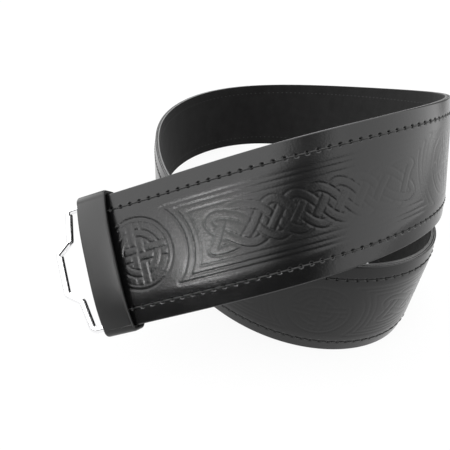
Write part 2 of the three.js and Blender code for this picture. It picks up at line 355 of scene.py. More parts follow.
class StitchSizes(bpy.types.PropertyGroup):
    """Sizes of the stitching"""

    inset: metres("Inset", "Distance of the stitching from the edge", 0.0071)
    pitch: metres("Pitch", "Length from hole to hole", 0.00446)
    first_hole: metres("First hole", "Length from the fold to the first hole", 0.0093)
    thread: metres("Thread", "Diameter of the thread", 0.0007)
    hole: metres("Hole", "Diameter of a stitch hole", 0.0016)


class RingSizes(bpy.types.PropertyGroup):
    """Sizes of the hook ring"""

    wire: metres("Wire", "Diameter of the ring's wire", 0.0032)
    reach: metres("Reach", "How far the sides reach past the fold", 0.0085)
    slope: metres("Slope", "Further reach at the step's foot", 0.0025)
    step: metres("Step", "Further reach of the middle step", 0.0065)
    step_width: metres("Step width", "Width of the middle step", 0.018)
    step_spread: metres("Step spread", "Spread of each side of the step", 0.0045)
    corner_radius: metres("Corner", "Radius of the outer corners", 0.0026)
    step_radius: metres("Step bends", "Radius of the step's bends", 0.002)


class KeeperSizes(bpy.types.PropertyGroup):
    """Sizes of the keeper"""

    width: metres("Width", "Width of the keeper", 0.0136)
    thickness: metres("Thickness", "Thickness of the keeper's leather", 0.002)
    bow: metres("Bow", "How far its front stands off the strap", 0.0028)
    overhang: metres("Overhang", "How far it reaches past the fold", 0.0004)
    corner_radius: metres("Corner", "Inner radius of its corners", 0.0016)
    edge_radius: metres("Edge radius", "Rounding of its cut edges", 0.0008)


class Finishes(bpy.types.PropertyGroup):
    """Colours of the pieces and the floor"""

    face: tint("Face leather", "Colour of the face leather", (0.0025, 0.0025, 0.0026))
    backing: tint("Backing", "Colour of the backing's inner side", (0.0036, 0.0036, 0.0036))
    edge: tint("Edges", "Colour of the cut edges", (0.055, 0.055, 0.055))
    keeper: tint("Keeper", "Colour of the keeper", (0.005, 0.005, 0.005))
    thread: tint("Thread", "Colour of the thread", (0.004, 0.004, 0.004))
    chrome: tint("Chrome", "Colour of the chromed wire", (0.9, 0.9, 0.91))
    floor: tint("Floor", "Colour of the studio floor", (0.05, 0.05, 0.05))


class View(bpy.types.PropertyGroup):
    """Where the camera stands"""

    target: bpy.props.FloatVectorProperty(
        name="Target", description="Point that the camera looks at", subtype="TRANSLATION",
        size=3, default=(-0.02608, -0.01038, 0), unit="LENGTH",
    )
    distance: metres("Distance", "Distance of the camera from its target", 0.297)
    elevation: bpy.props.FloatProperty(
        name="Elevation",
        description="Height angle of the camera",
        default=math.radians(35),
        subtype="ANGLE",
    )
    roll: bpy.props.FloatProperty(
        name="Roll",
        description="Turn of the camera about its own axis",
        default=math.radians(4),
        subtype="ANGLE",
    )
    lens: bpy.props.FloatProperty(
        name="Lens", description="Focal length", default=32, subtype="DISTANCE_CAMERA"
    )
    sensor: bpy.props.FloatProperty(
        name="Sensor",
        description="Width of the camera's sensor",
        default=36,
        subtype="DISTANCE_CAMERA",
    )


class Strap:
    """The strap's route and the depths that its pieces lie at, from the panel's sizes."""

    def __init__(self, context):
        s = context.scene.kilt_strap
        wire = context.scene.kilt_ring.wire / 2
        self.sizes = s
        self.half = s.width / 2
        self.face_depth = (s.clearance + s.face_thickness) / 2
        self.backing_depth = -(s.clearance + s.backing_thickness) / 2
        self.bar_depth = -s.clearance / 2 - wire
        self.fold_radius = wire + s.clearance + s.face_thickness / 2
        self.bar_at = self.fold_radius + s.face_thickness / 2
        self.flap_depth = (
            self.backing_depth - s.backing_thickness / 2 - s.clearance - s.face_thickness / 2
        )
        self.fold_back_depth = self.bar_depth - self.fold_radius
        self.ring_half = self.half - wire
        self.neck_half = self.ring_half - wire - s.clearance
        self.neck_end = self.bar_at + wire + s.clearance
        self.stitch_row = self.half - context.scene.kilt_stitch.inset
        rocks = next(j for j in frame["joints"] if j["name"] == "ring_rock")
        self.route = Route(s.width, s.length, rocks["pos_m"], self.bar_at, self.bar_depth)

    def half_at(self, lengths):
        """Half the strap's width, with its tail's corners rounded."""
        s = self.sizes
        inset = np.clip(np.asarray(lengths) - (s.length - s.tail_radius), 0, s.tail_radius)
        return self.half - s.tail_radius + np.sqrt(s.tail_radius**2 - inset**2)


def eased(share):
    """A share kept between 0 and 1 and eased in and out."""
    share = np.clip(share, 0, 1)
    return share * share * (3 - 2 * share)


def band(distance, half, soft):
    """1 inside half, 0 outside, with a smooth edge of this softness."""
    return eased((half - distance) / soft + 0.5)


def line(distance, half):
    """A pressed line's depth as a share, deepest along its middle."""
    return eased(1 - np.abs(distance) / half)


def smooth_curve(points, count):
    """A closed smooth curve through the points, with count points to each stretch."""
    points = np.asarray(points, float)
    share = (np.arange(count) / count)[:, None]
    made = []
    for i in range(len(points)):
        before, here, after, later = (points[(i + k) % len(points)] for k in (-1, 0, 1, 2))
        made.append(
            0.5
            * (
                2 * here
                + (after - before) * share
                + (2 * before - 5 * here + 4 * after - later) * share**2
                + (3 * here - before - 3 * after + later) * share**3
            )
        )
    return np.concatenate(made)


def knot_line(sizes):
    """The knot's one closed strand, as places along and across from the panel's middle."""

    def end(rows):
        return [(row["along"], row["across"]) for row in rows]

    def wave(start, rising, forward):
        """A strand between the ends, which crosses the middle line every other node."""
        places = np.arange(0.5 - KNOT_NODES, KNOT_NODES - 0.25, 0.5)
        heights = rising * np.sin((places - start) * math.pi / 2)
        rows = list(zip(places, heights))
        return rows if forward else rows[::-1]

    def turned(rows):
        return [(-x, -y) for x, y in rows]

    upper, lower = end(KNOT_END), end(KNOT_LOWER_END)
    path = (
        upper
        + wave(1 - KNOT_NODES, 1, True)
        + turned(upper)[::-1]
        + wave(-KNOT_NODES, 1, False)
        + lower[::-1]
        + wave(1 - KNOT_NODES, -1, True)
        + turned(lower)
        + wave(-KNOT_NODES, -1, False)
    )
    return smooth_curve(path, KNOT_POINTS) * (sizes.node_spacing, sizes.knot_height)


def crossings(path):
    """Where the closed path crosses itself: pairs of places along it, as indices with a fraction."""
    start = path
    step = np.roll(path, -1, axis=0) - path
    count = len(path)
    found = []
    for i in range(count):
        gap = start - start[i]
        across = step[i, 0] * step[:, 1] - step[i, 1] * step[:, 0]
        across[np.abs(across) < 1e-16] = np.nan
        with np.errstate(invalid="ignore"):
            mine = (gap[:, 0] * step[:, 1] - gap[:, 1] * step[:, 0]) / across
            theirs = (gap[:, 0] * step[i, 1] - gap[:, 1] * step[i, 0]) / across
            hit = (mine >= 0) & (mine < 1) & (theirs >= 0) & (theirs < 1)
        for j in np.flatnonzero(hit):
            if i + 1 < j < i + count - 1:
                found.append((i + mine[j], j + theirs[j]))
    return found


def strand_levels(path, height):
    """Each path point's level: 1 where it passes over, -1 where it passes under. A rising strand
    passes over along the middle, and a falling one passes over towards the edges."""
    step = np.roll(path, -1, axis=0) - path
    passes = []
    for pair in crossings(path):
        places = [int(p) % len(path) for p in pair]
        slopes = [step[i, 1] / (abs(step[i, 0]) + 1e-9) * np.sign(step[i, 0]) for i in places]
        in_middle = abs(path[places[0], 1]) < height * KNOT_MIDDLE
        for which in (0, 1):
            rises = slopes[which] > slopes[1 - which]
            passes.append((pair[which], 1 if rises == in_middle else -1))
    passes.sort()
    places = np.array([p for p, _ in passes])
    signs = np.array([float(sign) for _, sign in passes])
    count = len(path)
    known = np.concatenate((places - count, places, places + count))
    level = np.interp(np.arange(count), known, np.tile(signs, 3))
    middles = (known[1:] + known[:-1]) / 2
    stretch = np.searchsorted(middles, np.arange(count))
    return level, stretch


def pressed_strand(near, half, groove, pressed):
    """A strand's height by the distance from its middle line: a flat crown and a pressed groove."""
    crown = -CROWN_FALL * np.clip(near / half, 0, 1) ** CROWN_POWER
    return np.minimum(crown, -line(near - half - groove / 2, pressed))


def knot_relief(sizes, along, across):
    """The knot's height, from 0 down to -1, at a grid of places from the panel's middle, and
    which places its strands and their pressed lines cover."""
    path = knot_line(sizes)
    level, stretch = strand_levels(path, sizes.knot_height)
    half = sizes.strand_width / 2
    groove = sizes.strand_width * KNOT_GROOVE
    reach = half + groove
    x, y = np.meshgrid(along, across, indexing="ij")
    shape = x.shape
    best = np.full(shape, -math.inf)
    near = np.full(shape, math.inf)
    for number in np.unique(stretch):
        own = np.flatnonzero(stretch == number)
        if own[-1] - own[0] > len(path) / 2:
            own = np.concatenate((own[own > len(path) / 2], own[own < len(path) / 2]))
        line_x, line_y = path[own, 0], path[own, 1]
        rows = np.flatnonzero((along > line_x.min() - reach) & (along < line_x.max() + reach))
        columns = np.flatnonzero((across > line_y.min() - reach) & (across < line_y.max() + reach))
        if not len(rows) or not len(columns):
            continue
        window = np.ix_(rows, columns)
        gaps = np.hypot(x[window][..., None] - line_x, y[window][..., None] - line_y)
        nearest = gaps.argmin(axis=2)
        gap = gaps.min(axis=2)
        inner = (nearest > 0) & (nearest < len(own) - 1)
        score = np.where(inner, level[own][nearest], STRETCH_END - gap / reach)
        take = (gap < reach) & (score > best[window])
        best[window] = np.where(take, score, best[window])
        near[window] = np.where(take, gap, near[window])
    covered = near < reach
    knot = pressed_strand(near, half, groove, groove * KNOT_PRESSED)
    return np.where(covered, knot, 0), covered


def medallion_relief(sizes, along, across):
    """The medallion's height, from 0 down to -1: a rim, and a cross woven through an inner ring."""
    x, y = np.meshgrid(along, across, indexing="ij")
    radius = np.hypot(x, y)
    rim = sizes.medallion_radius
    half = sizes.strand_width * MEDALLION_STRAND
    gap = sizes.strand_width * MEDALLION_GROOVE
    arm = sizes.strand_width * MEDALLION_ARM
    ring = rim * MEDALLION_RING
    turns = (-ring, -arm, arm, ring)
    levels = (-1, 1, -1, 1)
    strands = (
        (np.abs(radius - ring), np.zeros(x.shape)),
        (np.abs(x + arm), np.interp(y, turns, levels)),
        (np.abs(x - arm), -np.interp(y, turns, levels)),
        (np.abs(y - arm), np.interp(x, turns, levels)),
        (np.abs(y + arm), -np.interp(x, turns, levels)),
    )
    best = np.full(x.shape, -math.inf)
    near = np.full(x.shape, math.inf)
    for distance, level in strands:
        take = (distance < half + gap) & (level > best)
        best = np.where(take, level, best)
        near = np.where(take, distance, near)
    woven = np.where(near < half + gap, pressed_strand(near, half, gap, gap), -CROWN_FALL)
    edge = -line(radius - rim, RIM_LINE + gap / 2)
    inner_line = line(radius - rim * MEDALLION_INNER_LINE, gap * MEDALLION_INNER_WIDTH)
    height = np.where(radius < rim * MEDALLION_FIELD, woven, 0)
    return np.minimum(height, np.minimum(edge, -MEDALLION_INNER_DEPTH * inner_line))


def frame_relief(sizes, x, y, side):
    """The frame's lines round the medallion on one side of the panel, from 0 down to -1."""
    centre = 0 if side > 0 else sizes.spacing
    radius = np.hypot(x - centre, y)
    middle = (x - sizes.spacing / 2) * side
    height = np.zeros(x.shape)
    for row in FRAME_LINES:
        half = sizes.strand_width * FRAME_LINE * row["width"]
        top = sizes.frame_height * row["height"]
        arc = sizes.medallion_radius * row["radius"]
        foot = math.sqrt(arc**2 - min(top, arc * FRAME_ARC_RISE) ** 2)
        on_arc = (np.abs(y) <= top) & (middle < 0)
        past = (side * (x - centre) >= foot) & (middle < MM)
        cut = np.where(on_arc, line(radius - arc, half), 0)
        cut = np.maximum(cut, np.where(past, line(np.abs(y) - top, half), 0))
        height = np.minimum(height, -row["depth"] * cut)
    return height


def pattern_relief(sizes):
    """One repeat of the embossing, in metres, as a grid of lengths from a medallion's middle by
    heights, and the heights."""
    along = np.arange(0, sizes.spacing, RELIEF_FINENESS)
    reach = sizes.frame_height + FRAME_MARGIN
    across = np.arange(-reach, reach + RELIEF_FINENESS, RELIEF_FINENESS)
    x, y = np.meshgrid(along, across, indexing="ij")
    height = np.minimum(frame_relief(sizes, x, y, 1), frame_relief(sizes, x, y, -1))
    for centre in (0, sizes.spacing):
        local = np.flatnonzero(np.abs(along - centre) < sizes.medallion_radius * MEDALLION_REACH)
        medallion = medallion_relief(sizes, along[local] - centre, across)
        height[local] = np.minimum(height[local], medallion)
    places = along - sizes.spacing / 2
    inside = np.flatnonzero(np.abs(places) < sizes.node_spacing * PANEL_REACH)
    columns = np.flatnonzero(np.abs(across) < sizes.frame_height * PANEL_HEIGHT)
    window = np.ix_(inside, columns)
    knot, covered = knot_relief(sizes, places[inside], across[columns])
    panel = band(np.abs(places[inside])[:, None], sizes.node_spacing * PANEL_NODES, PANEL_SOFTNESS)
    ground = np.where(covered, knot, -KNOT_GROUND * panel)
    height[window] = np.minimum(height[window], ground)
    for axis in (0, 1):
        for _ in range(SMOOTHING_PASSES):
            neighbours = np.roll(height, 1, axis) + np.roll(height, -1, axis)
            height = height * 0.5 + neighbours * 0.25
    return height * sizes.groove_depth, across


class Relief:
    """The face leather's surface: the repeating pattern and the stitch holes."""

    def __init__(self, strap, pattern, stitches):
        self.table, self.across = pattern_relief(pattern)
        self.pattern = pattern
        self.stitches = stitches
        self.row = strap.stitch_row
        self.last = strap.sizes.length - stitches.inset

    def at(self, lengths, heights):
        """Depths below the plain surface, 0 or negative, for a grid of lengths by heights."""
        spacing = self.pattern.spacing
        place = ((lengths - self.pattern.first_medallion) % spacing) / RELIEF_FINENESS
        low = place.astype(int)
        share = (place - low)[:, None]
        count = len(self.table)
        rows = self.table[low % count] * (1 - share) + self.table[(low + 1) % count] * share
        column = np.clip((heights - self.across[0]) / RELIEF_FINENESS, 0, len(self.across) - 1)
        left = np.minimum(column.astype(int), len(self.across) - 2)
        side = column - left
        made = rows[:, left] * (1 - side) + rows[:, left + 1] * side
        plain = (lengths < self.stitches.first_hole - FRAME_MARGIN)[:, None]
        return np.where(plain, 0, made) + self.holes(lengths, heights)

    def holes(self, lengths, heights):
        """The stitch holes' depths, 0 or negative."""
        s = self.stitches
        run = (lengths - s.first_hole) / s.pitch
        near = (run - np.round(run)) * s.pitch
        sewn = (lengths > s.first_hole - s.pitch / 2) & (lengths < self.last)
        off = np.abs(np.abs(heights) - self.row)
        gap = np.hypot(near[:, None], off[None, :])
        dimple = band(gap, s.hole * HOLE_HALF, s.hole * HOLE_SOFTNESS) * s.hole * HOLE_DEPTH
        return -np.where(sewn[:, None], dimple, 0)


def mesh_piece(name, points, faces, material, body):
    """A smooth mesh object that rides on a body."""
    data = bpy.data.meshes.new(name)
    data.from_pydata(np.asarray(points, float).tolist(), [], faces)
    data.polygons.foreach_set("use_smooth", [True] * len(data.polygons))
    data.materials.append(material)
    data.update()
    piece = bpy.data.objects.new(name, data)
    bpy.context.scene.collection.objects.link(piece)
    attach(piece, body)
    return piece


def grid_faces(rows, columns, closed_rows, closed_columns):
    """Four-sided faces over a grid of points that is numbered row by row."""
    row = np.arange(rows if closed_rows else rows - 1)
    column = np.arange(columns if closed_columns else columns - 1)
    r, c = np.meshgrid(row, column, indexing="ij")
    here, after = r * columns, (r + 1) % rows * columns
    right = (c + 1) % columns
    quads = np.stack((here + c, here + right, after + right, after + c), -1)
    return quads.reshape(-1, 4).tolist()


def sweep(name, rings, material, body, closed=False):
    """Rings of points joined into a closed solid. The rings run clockwise as seen looking back
    along the sweep, and a sweep that isn't closed on itself gets flat ends."""
    rings = np.asarray(rings)
    count, sides = rings.shape[:2]
    faces = grid_faces(count, sides, closed, True)
    if not closed:
        faces.append(list(range(sides))[::-1])
        faces.append([(count - 1) * sides + i for i in range(sides)])
    piece = mesh_piece(name, rings.reshape(-1, 3), faces, material, body)
    if not closed:
        for ring in (0, count - 1):
            edges = {(ring * sides + i, ring * sides + (i + 1) % sides) for i in range(sides)}
            mark_sharp(piece.data, edges)
    return piece


def mark_sharp(data, pairs):
    """Marks the mesh's edges between these pairs of points as sharp."""
    wanted = {tuple(sorted(pair)) for pair in pairs}
    for edge in data.edges:
        if tuple(sorted(edge.vertices)) in wanted:
            edge.use_edge_sharp = True


def new_material(name):
    """A new material, with its node tree and its shader."""
    material = bpy.data.materials.new(name)
    material.use_nodes = True
    return material, material.node_tree, material.node_tree.nodes["Principled BSDF"]


def node(tree, kind, **inputs):
    """A new node with these values on its inputs. Underscores stand for spaces."""
    made = tree.nodes.new(kind)
    for key, value in inputs.items():
        made.inputs[key.replace("_", " ")].default_value = value
    return made


def on_surface(tree, made):
    """Lays a texture node on the piece's own places."""
    place = tree.nodes.new("ShaderNodeTexCoord").outputs["Object"]
    tree.links.new(place, made.inputs["Vector"])
    return made.outputs


def noise(tree, size, detail=3.0, roughness=0.5, distortion=0.0):
    """Noise with features of about this size in metres."""
    shape = {"Detail": detail, "Roughness": roughness, "Distortion": distortion}
    return on_surface(tree, node(tree, "ShaderNodeTexNoise", Scale=1 / size, **shape))["Fac"]


def soft_cells(tree, size):
    """Cells of about this size in metres, 0 at their middles and rounded into each other."""
    made = node(tree, "ShaderNodeTexVoronoi", Scale=1 / size)
    made.feature = "SMOOTH_F1"
    return on_surface(tree, made)["Distance"]


def ramp(tree, value, low, high, dark, light):
    """Maps value from low..high to dark..light."""
    made = node(tree, "ShaderNodeMapRange", From_Min=low, From_Max=high, To_Min=dark, To_Max=light)
    tree.links.new(value, made.inputs["Value"])
    return made.outputs["Result"]


def shade(colour, factor):
    """A colour times a factor, with its alpha."""
    return (*(min(1.0, c * factor) for c in colour), 1)


def dye(tree, shader, pattern, colour, dark, light, values=NOISE_RANGE):
    """Colours the shader from the dark to the light share of a colour, by a pattern that lies
    mostly between these values."""
    made = tree.nodes.new("ShaderNodeMix")
    made.data_type = "RGBA"
    tree.links.new(ramp(tree, pattern, *values, 0, 1), made.inputs["Factor"])
    made.inputs["A"].default_value = shade(colour, dark)
    made.inputs["B"].default_value = shade(colour, light)
    tree.links.new(made.outputs["Result"], shader.inputs["Base Color"])


def polish(tree, shader, pattern, smooth, rough):
    """Varies the shader's roughness by a pattern."""
    tree.links.new(ramp(tree, pattern, *NOISE_RANGE, smooth, rough), shader.inputs["Roughness"])


def emboss(tree, shader, *heights):
    """Bumps the shader's surface by (pattern, depth in metres) pairs, one upon the other."""
    below = None
    for height, depth in heights:
        made = node(tree, "ShaderNodeBump", Strength=1.0, Distance=depth)
        tree.links.new(height, made.inputs["Height"])
        if below is not None:
            tree.links.new(below, made.inputs["Normal"])
        below = made.outputs["Normal"]
    tree.links.new(below, shader.inputs["Normal"])


def leather(name, colour, roughness, shine, grain, spread):
    """Finished leather: pores, fine creases, and a polish that varies softly over the surface."""
    material, tree, shader = new_material(name)
    clouds = noise(tree, 18 * MM)
    dye(tree, shader, clouds, colour, 1 - spread, 1 + spread)
    wear = noise(tree, 6 * MM, detail=4)
    polish(tree, shader, wear, roughness - POLISH_FALL, roughness + POLISH_RISE)
    shader.inputs["Specular IOR Level"].default_value = shine
    pores = soft_cells(tree, grain)
    creases = noise(tree, grain * CREASE_SIZE, detail=5, roughness=0.65, distortion=0.4)
    emboss(tree, shader, (pores, grain * PORE_DEPTH), (creases, grain * CREASE_DEPTH))
    return material


def suede(name, colour):
    """Rough flesh side of leather: short nap and darker smudges."""
    material, tree, shader = new_material(name)
    smudges = noise(tree, 9 * MM, detail=5, roughness=0.6)
    dye(tree, shader, smudges, colour, 0.65, 1.5, values=(0.3, 0.72))
    shader.inputs["Roughness"].default_value = 0.92
    shader.inputs["Specular IOR Level"].default_value = 0.15
    shader.inputs["Sheen Weight"].default_value = 0.04
    nap = noise(tree, 0.5 * MM, detail=4, roughness=0.7)
    emboss(tree, shader, (nap, 0.12 * MM), (smudges, 0.25 * MM))
    return material


def burnished(name, colour):
    """Burnished cut edge: pale fibre lines under a waxed polish."""
    material, tree, shader = new_material(name)
    fibres = noise(tree, 1.1 * MM, detail=5, roughness=0.7, distortion=0.6)
    dye(tree, shader, fibres, colour, 0.7, 1.25)
    polish(tree, shader, fibres, 0.3, 0.5)
    emboss(tree, shader, (fibres, 0.08 * MM))
    return material


def waxed_thread(name, colour):
    """Waxed thread, with the twist of its strands."""
    material, tree, shader = new_material(name)
    strands = noise(tree, 0.35 * MM, roughness=0.6)
    dye(tree, shader, strands, colour, 0.6, 2.2, values=(0.35, 0.65))
    polish(tree, shader, strands, 0.35, 0.55)
    shader.inputs["Specular IOR Level"].default_value = 0.33
    emboss(tree, shader, (strands, 0.1 * MM))
    return material


def chromed(name, colour):
    """Polished chrome with faint drawing marks."""
    material, tree, shader = new_material(name)
    shader.inputs["Metallic"].default_value = 1.0
    marks = noise(tree, 2.5 * MM, detail=4, roughness=0.6)
    dye(tree, shader, marks, colour, 0.96, 1)
    polish(tree, shader, marks, 0.04, 0.1)
    emboss(tree, shader, (marks, 0.01 * MM))
    return material


def sections(points, sideways, outward, side, rise):
    """Rings of points round a line's points, from their places sideways and outward."""
    return (
        points[:, None, :]
        + sideways[:, None, :] * side[..., None]
        + outward[:, None, :] * rise[..., None]
    )


def beside(there, heights, depths):
    """Points at these heights and depths beside places on the route."""
    heights, depths = np.reshape(heights, (-1, 1)), np.reshape(depths, (-1, 1))
    return there["point"] + there["across"] * heights + there["out"] * depths


def quarter(facets):
    """Angles over a quarter turn."""
    return np.linspace(0, math.pi / 2, facets + 1)


def even_lengths(start, end, spacing):
    """Lengths from the start to the end, at most this far apart."""
    return np.linspace(start, end, max(2, math.ceil((end - start) / spacing) + 1))


def edge_fall(places, row):
    """How far the face lies below its middle, from inside the stitched row out to the edge."""
    past = np.clip(np.abs(places) - row + EDGE_LEAD, 0, None)
    return EDGE_SLOPE * (np.hypot(past, EDGE_SOFTNESS) - EDGE_SOFTNESS)


def strap_columns(half, radius, relief_half, fine, coarse, row=None):
    """Places across the strap from one edge's rounding to the other's, with finer ones on the
    relief and the stitching, and how far each lies below the top by the rounding. A stitched
    row pulls the leather down, so that it falls away from there to the edge."""
    angles = quarter(EDGE_FACETS)
    rounding = half - radius + radius * np.cos(angles)
    drop = radius * (1 - np.sin(angles))
    outer, inner = (half - inset for inset in STITCH_BAND)
    flat = np.concatenate((
        [half - radius - fine / 4],
        np.arange(half - radius - coarse, outer, -coarse),
        np.arange(outer, inner, -fine),
        np.arange(inner, relief_half, -coarse),
        np.arange(relief_half, fine / 2, -fine),
    ))
    places = np.concatenate((rounding, flat))
    drops = np.concatenate((drop, np.zeros(len(flat))))
    if row is not None:
        drops = drops + edge_fall(places, row)
    return (
        np.concatenate((places, [0], -places[::-1])),
        np.concatenate((drops, [0], drops[::-1])),
    )


def ply_rings(strap, stations, thickness, columns, drops, relief=None, outward=1):
    """Sections of a ply. Stations is a dict of points, the directions out and across, half widths,
    lengths, and 1 where the ply has relief. The rounded side is the outward one."""
    scale = (stations["half"] / strap.half)[:, None]
    places = columns[None, :] * scale
    rise = np.tile(thickness / 2 - drops, (len(places), 1))
    if relief is not None:
        rise = rise + relief.at(stations["length"], columns) * stations["marked"][:, None]
    under = np.linspace(-1, 1, UNDERSIDE_POINTS)[None, :] * stations["half"][:, None]
    places = np.concatenate((places, under), axis=1)
    depth = np.concatenate((rise, np.full(under.shape, -thickness / 2)), axis=1) * outward
    rings = sections(stations["point"], stations["across"], stations["out"], places, depth)
    return rings if outward > 0 else rings[:, ::-1]


def run_stations(strap, lengths, depth, marked=True):
    """A ply's stations along the strap's run, at a depth."""
    there = strap.route.at(lengths)
    return {
        "point": there["point"] + there["out"] * depth,
        "out": there["out"],
        "across": there["across"],
        "half": strap.half_at(lengths),
        "length": np.asarray(lengths, float),
        "marked": np.full(len(lengths), float(marked)),
    }


def neck_stations(strap, points, out, across):
    """Stations as wide as the neck, with no relief."""
    none = np.zeros(len(points))
    return {
        "point": points,
        "out": out,
        "across": across,
        "half": none + strap.neck_half,
        "length": none,
        "marked": none,
    }


def join_stations(*groups):
    """Groups of stations, one after the other."""
    return {key: np.concatenate([g[key] for g in groups]) for key in groups[0]}


def flap_stations(strap):
    """The turned-back flap, then the fold half round the ring's bar, then the neck."""
    settled = strap.neck_end + NECK_RUN
    lengths = np.concatenate((
        np.linspace(strap.sizes.flap_length, settled, FLAP_STATIONS),
        np.linspace(settled, strap.bar_at, NECK_STATIONS)[1:-1],
    ))
    share = eased((settled - lengths) / (settled - strap.bar_at))
    depths = strap.flap_depth + (strap.fold_back_depth - strap.flap_depth) * share
    there = strap.route.at(lengths)
    points = there["point"] + there["out"] * depths[:, None]
    flap = neck_stations(strap, points, -there["out"], there["across"])
    angles = np.linspace(0, math.pi, FOLD_FACETS + 1)
    bar = strap.route.at(np.full(len(angles), strap.bar_at))
    outward = -np.cos(angles)[:, None] * bar["out"] - np.sin(angles)[:, None] * bar["along"]
    points = bar["point"] + bar["out"] * strap.bar_depth + outward * strap.fold_radius
    fold = neck_stations(strap, points, outward, bar["across"])
    neck = run_stations(strap, [strap.neck_end], strap.face_depth, marked=False)
    neck["half"] = np.array([strap.neck_half])
    return join_stations(flap, fold, neck)


def tail_lengths(strap):
    """Lengths round the tail's corners."""
    s = strap.sizes
    return s.length - s.tail_radius + s.tail_radius * np.sin(quarter(TAIL_FACETS)[1:])


class KILTBELT_OT_face(bpy.types.Operator):
    """Build the embossed face leather, with the flap that turns back round the ring"""

    bl_idname = "kiltbelt.face"
    bl_label = "Face Leather"

    def execute(self, context):
        scene = context.scene
        strap = Strap(context)
        s = strap.sizes
        relief = Relief(strap, scene.kilt_pattern, scene.kilt_stitch)
        relief_half = scene.kilt_pattern.frame_height + RELIEF_MARGIN
        material = leather(
            "black_face_leather", scene.kilt_finish.face,
            roughness=0.2, shine=0.33, grain=0.7 * MM, spread=0.25,
        )
        start = strap.neck_end + NECK_RUN
        for row in FACE_STRETCHES:
            fine, end = row["fineness"], row["end"]
            columns, drops = strap_columns(
                strap.half, s.edge_radius, relief_half, fine, FACE_COARSENESS, strap.stitch_row
            )
            lengths = even_lengths(start, end or s.length - s.tail_radius, fine)
            if end is None:
                lengths = np.concatenate((lengths, tail_lengths(strap)))
            stations = run_stations(strap, lengths, strap.face_depth)
            if row is FACE_STRETCHES[0]:
                stations = join_stations(flap_stations(strap), stations)
            rings = ply_rings(strap, stations, s.face_thickness, columns, drops, relief)
            piece = sweep(row["piece"], rings, material, "belt")
            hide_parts("face_leather")
            start = end
        return {"FINISHED"}


class KILTBELT_OT_backing(bpy.types.Operator):
    """Build the plain backing leather, its rough side inward"""

    bl_idname = "kiltbelt.backing"
    bl_label = "Backing Leather"

    def execute(self, context):
        strap = Strap(context)
        s = strap.sizes
        material = suede("rough_backing_leather", context.scene.kilt_finish.backing)
        columns, drops = strap_columns(
            strap.half, s.edge_radius, BACKING_MIDDLE, BACKING_COARSENESS, BACKING_COARSENESS
        )
        straight = even_lengths(strap.neck_end, s.length - s.tail_radius, BACKING_FINENESS)
        lengths = np.concatenate((straight, tail_lengths(strap)))
        stations = run_stations(strap, lengths, strap.backing_depth)
        rings = ply_rings(strap, stations, s.backing_thickness, columns, drops, outward=-1)
        piece = sweep("belt_backing", rings, material, "belt")
        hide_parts("backing_leather")
        return {"FINISHED"}


def edge_outline(strap, start, spacing):
    """The strap's cut outline, up one edge, round the tail and back: lengths, heights and the
    outward direction at each, as shares along and across."""
    s = strap.sizes
    straight = even_lengths(start, s.length - s.tail_radius, spacing)
    angles = quarter(TAIL_FACETS)[1:]
    upper = strap.half - s.tail_radius
    lengths = np.concatenate((straight, tail_lengths(strap)))
    heights = np.concatenate((
        np.full(len(straight), strap.half), upper + s.tail_radius * np.cos(angles)
    ))
    lean = np.concatenate((np.zeros(len(straight)), angles))
    outward = np.stack((np.sin(lean), np.cos(lean)), 1)
    middle = np.linspace(upper, -upper, TAIL_POINTS)[1:-1]
    lengths = np.concatenate((lengths, np.full(len(middle), s.length), lengths[::-1]))
    heights = np.concatenate((heights, middle, -heights[::-1]))
    mirrored = outward[::-1] * (1, -1)
    outward = np.concatenate((outward, np.tile((1.0, 0.0), (len(middle), 1)), mirrored))
    return lengths, heights, outward


class KILTBELT_OT_edges(bpy.types.Operator):
    """Build the burnished cut edges of both plies"""

    bl_idname = "kiltbelt.edges"
    bl_label = "Cut Edges"

    def execute(self, context):
        strap = Strap(context)
        s = strap.sizes
        material = burnished("burnished_edge", context.scene.kilt_finish.edge)
        fall = edge_fall(strap.half, strap.stitch_row)
        plies = (
            ("edge_face", strap.face_depth, s.face_thickness, strap.neck_end + NECK_RUN),
            ("edge_backing", strap.backing_depth, s.backing_thickness, strap.neck_end),
        )
        for name, depth, thickness, start in plies:
            top, bottom = thickness / 2 - s.edge_radius, -thickness / 2
            if depth < 0:
                top, bottom = -bottom, -top
            else:
                top -= fall
            profile = np.array((
                (-STRIP_LAP, top), (0, top), (STRIP_PROUD, top - STRIP_PROUD),
                (STRIP_PROUD, bottom + STRIP_PROUD), (0, bottom), (-STRIP_LAP, bottom),
            ))
            lengths, heights, outward = edge_outline(strap, start, EDGE_FINENESS)
            there = strap.route.at(lengths)
            sideways = there["along"] * outward[:, :1] + there["across"] * outward[:, 1:]
            base = beside(there, heights, depth)
            side, rise = profile.T[:, None, :]
            rings = sections(base, sideways, there["out"], side, rise)
            sweep(name, rings[:, ::-1], material, "belt")
        return {"FINISHED"}


def stitch_places(strap, stitches):
    """Each stitch's two ends, as (length, height) pairs: two rows, and one across the tail."""
    row = strap.stitch_row
    last = strap.sizes.length - stitches.inset
    count = int((last - stitches.first_hole) / stitches.pitch)
    made = []
    for height in (row, -row):
        for k in range(count):
            start = stitches.first_hole + k * stitches.pitch
            made.append(((start, height), (start + stitches.pitch, height)))
    across = math.floor(2 * row / stitches.pitch)
    holes = np.linspace(row, -row, across + 1)
    end = stitches.first_hole + count * stitches.pitch
    for top, bottom in zip(holes[:-1], holes[1:]):
        made.append(((end, top), (end, bottom)))
    return made


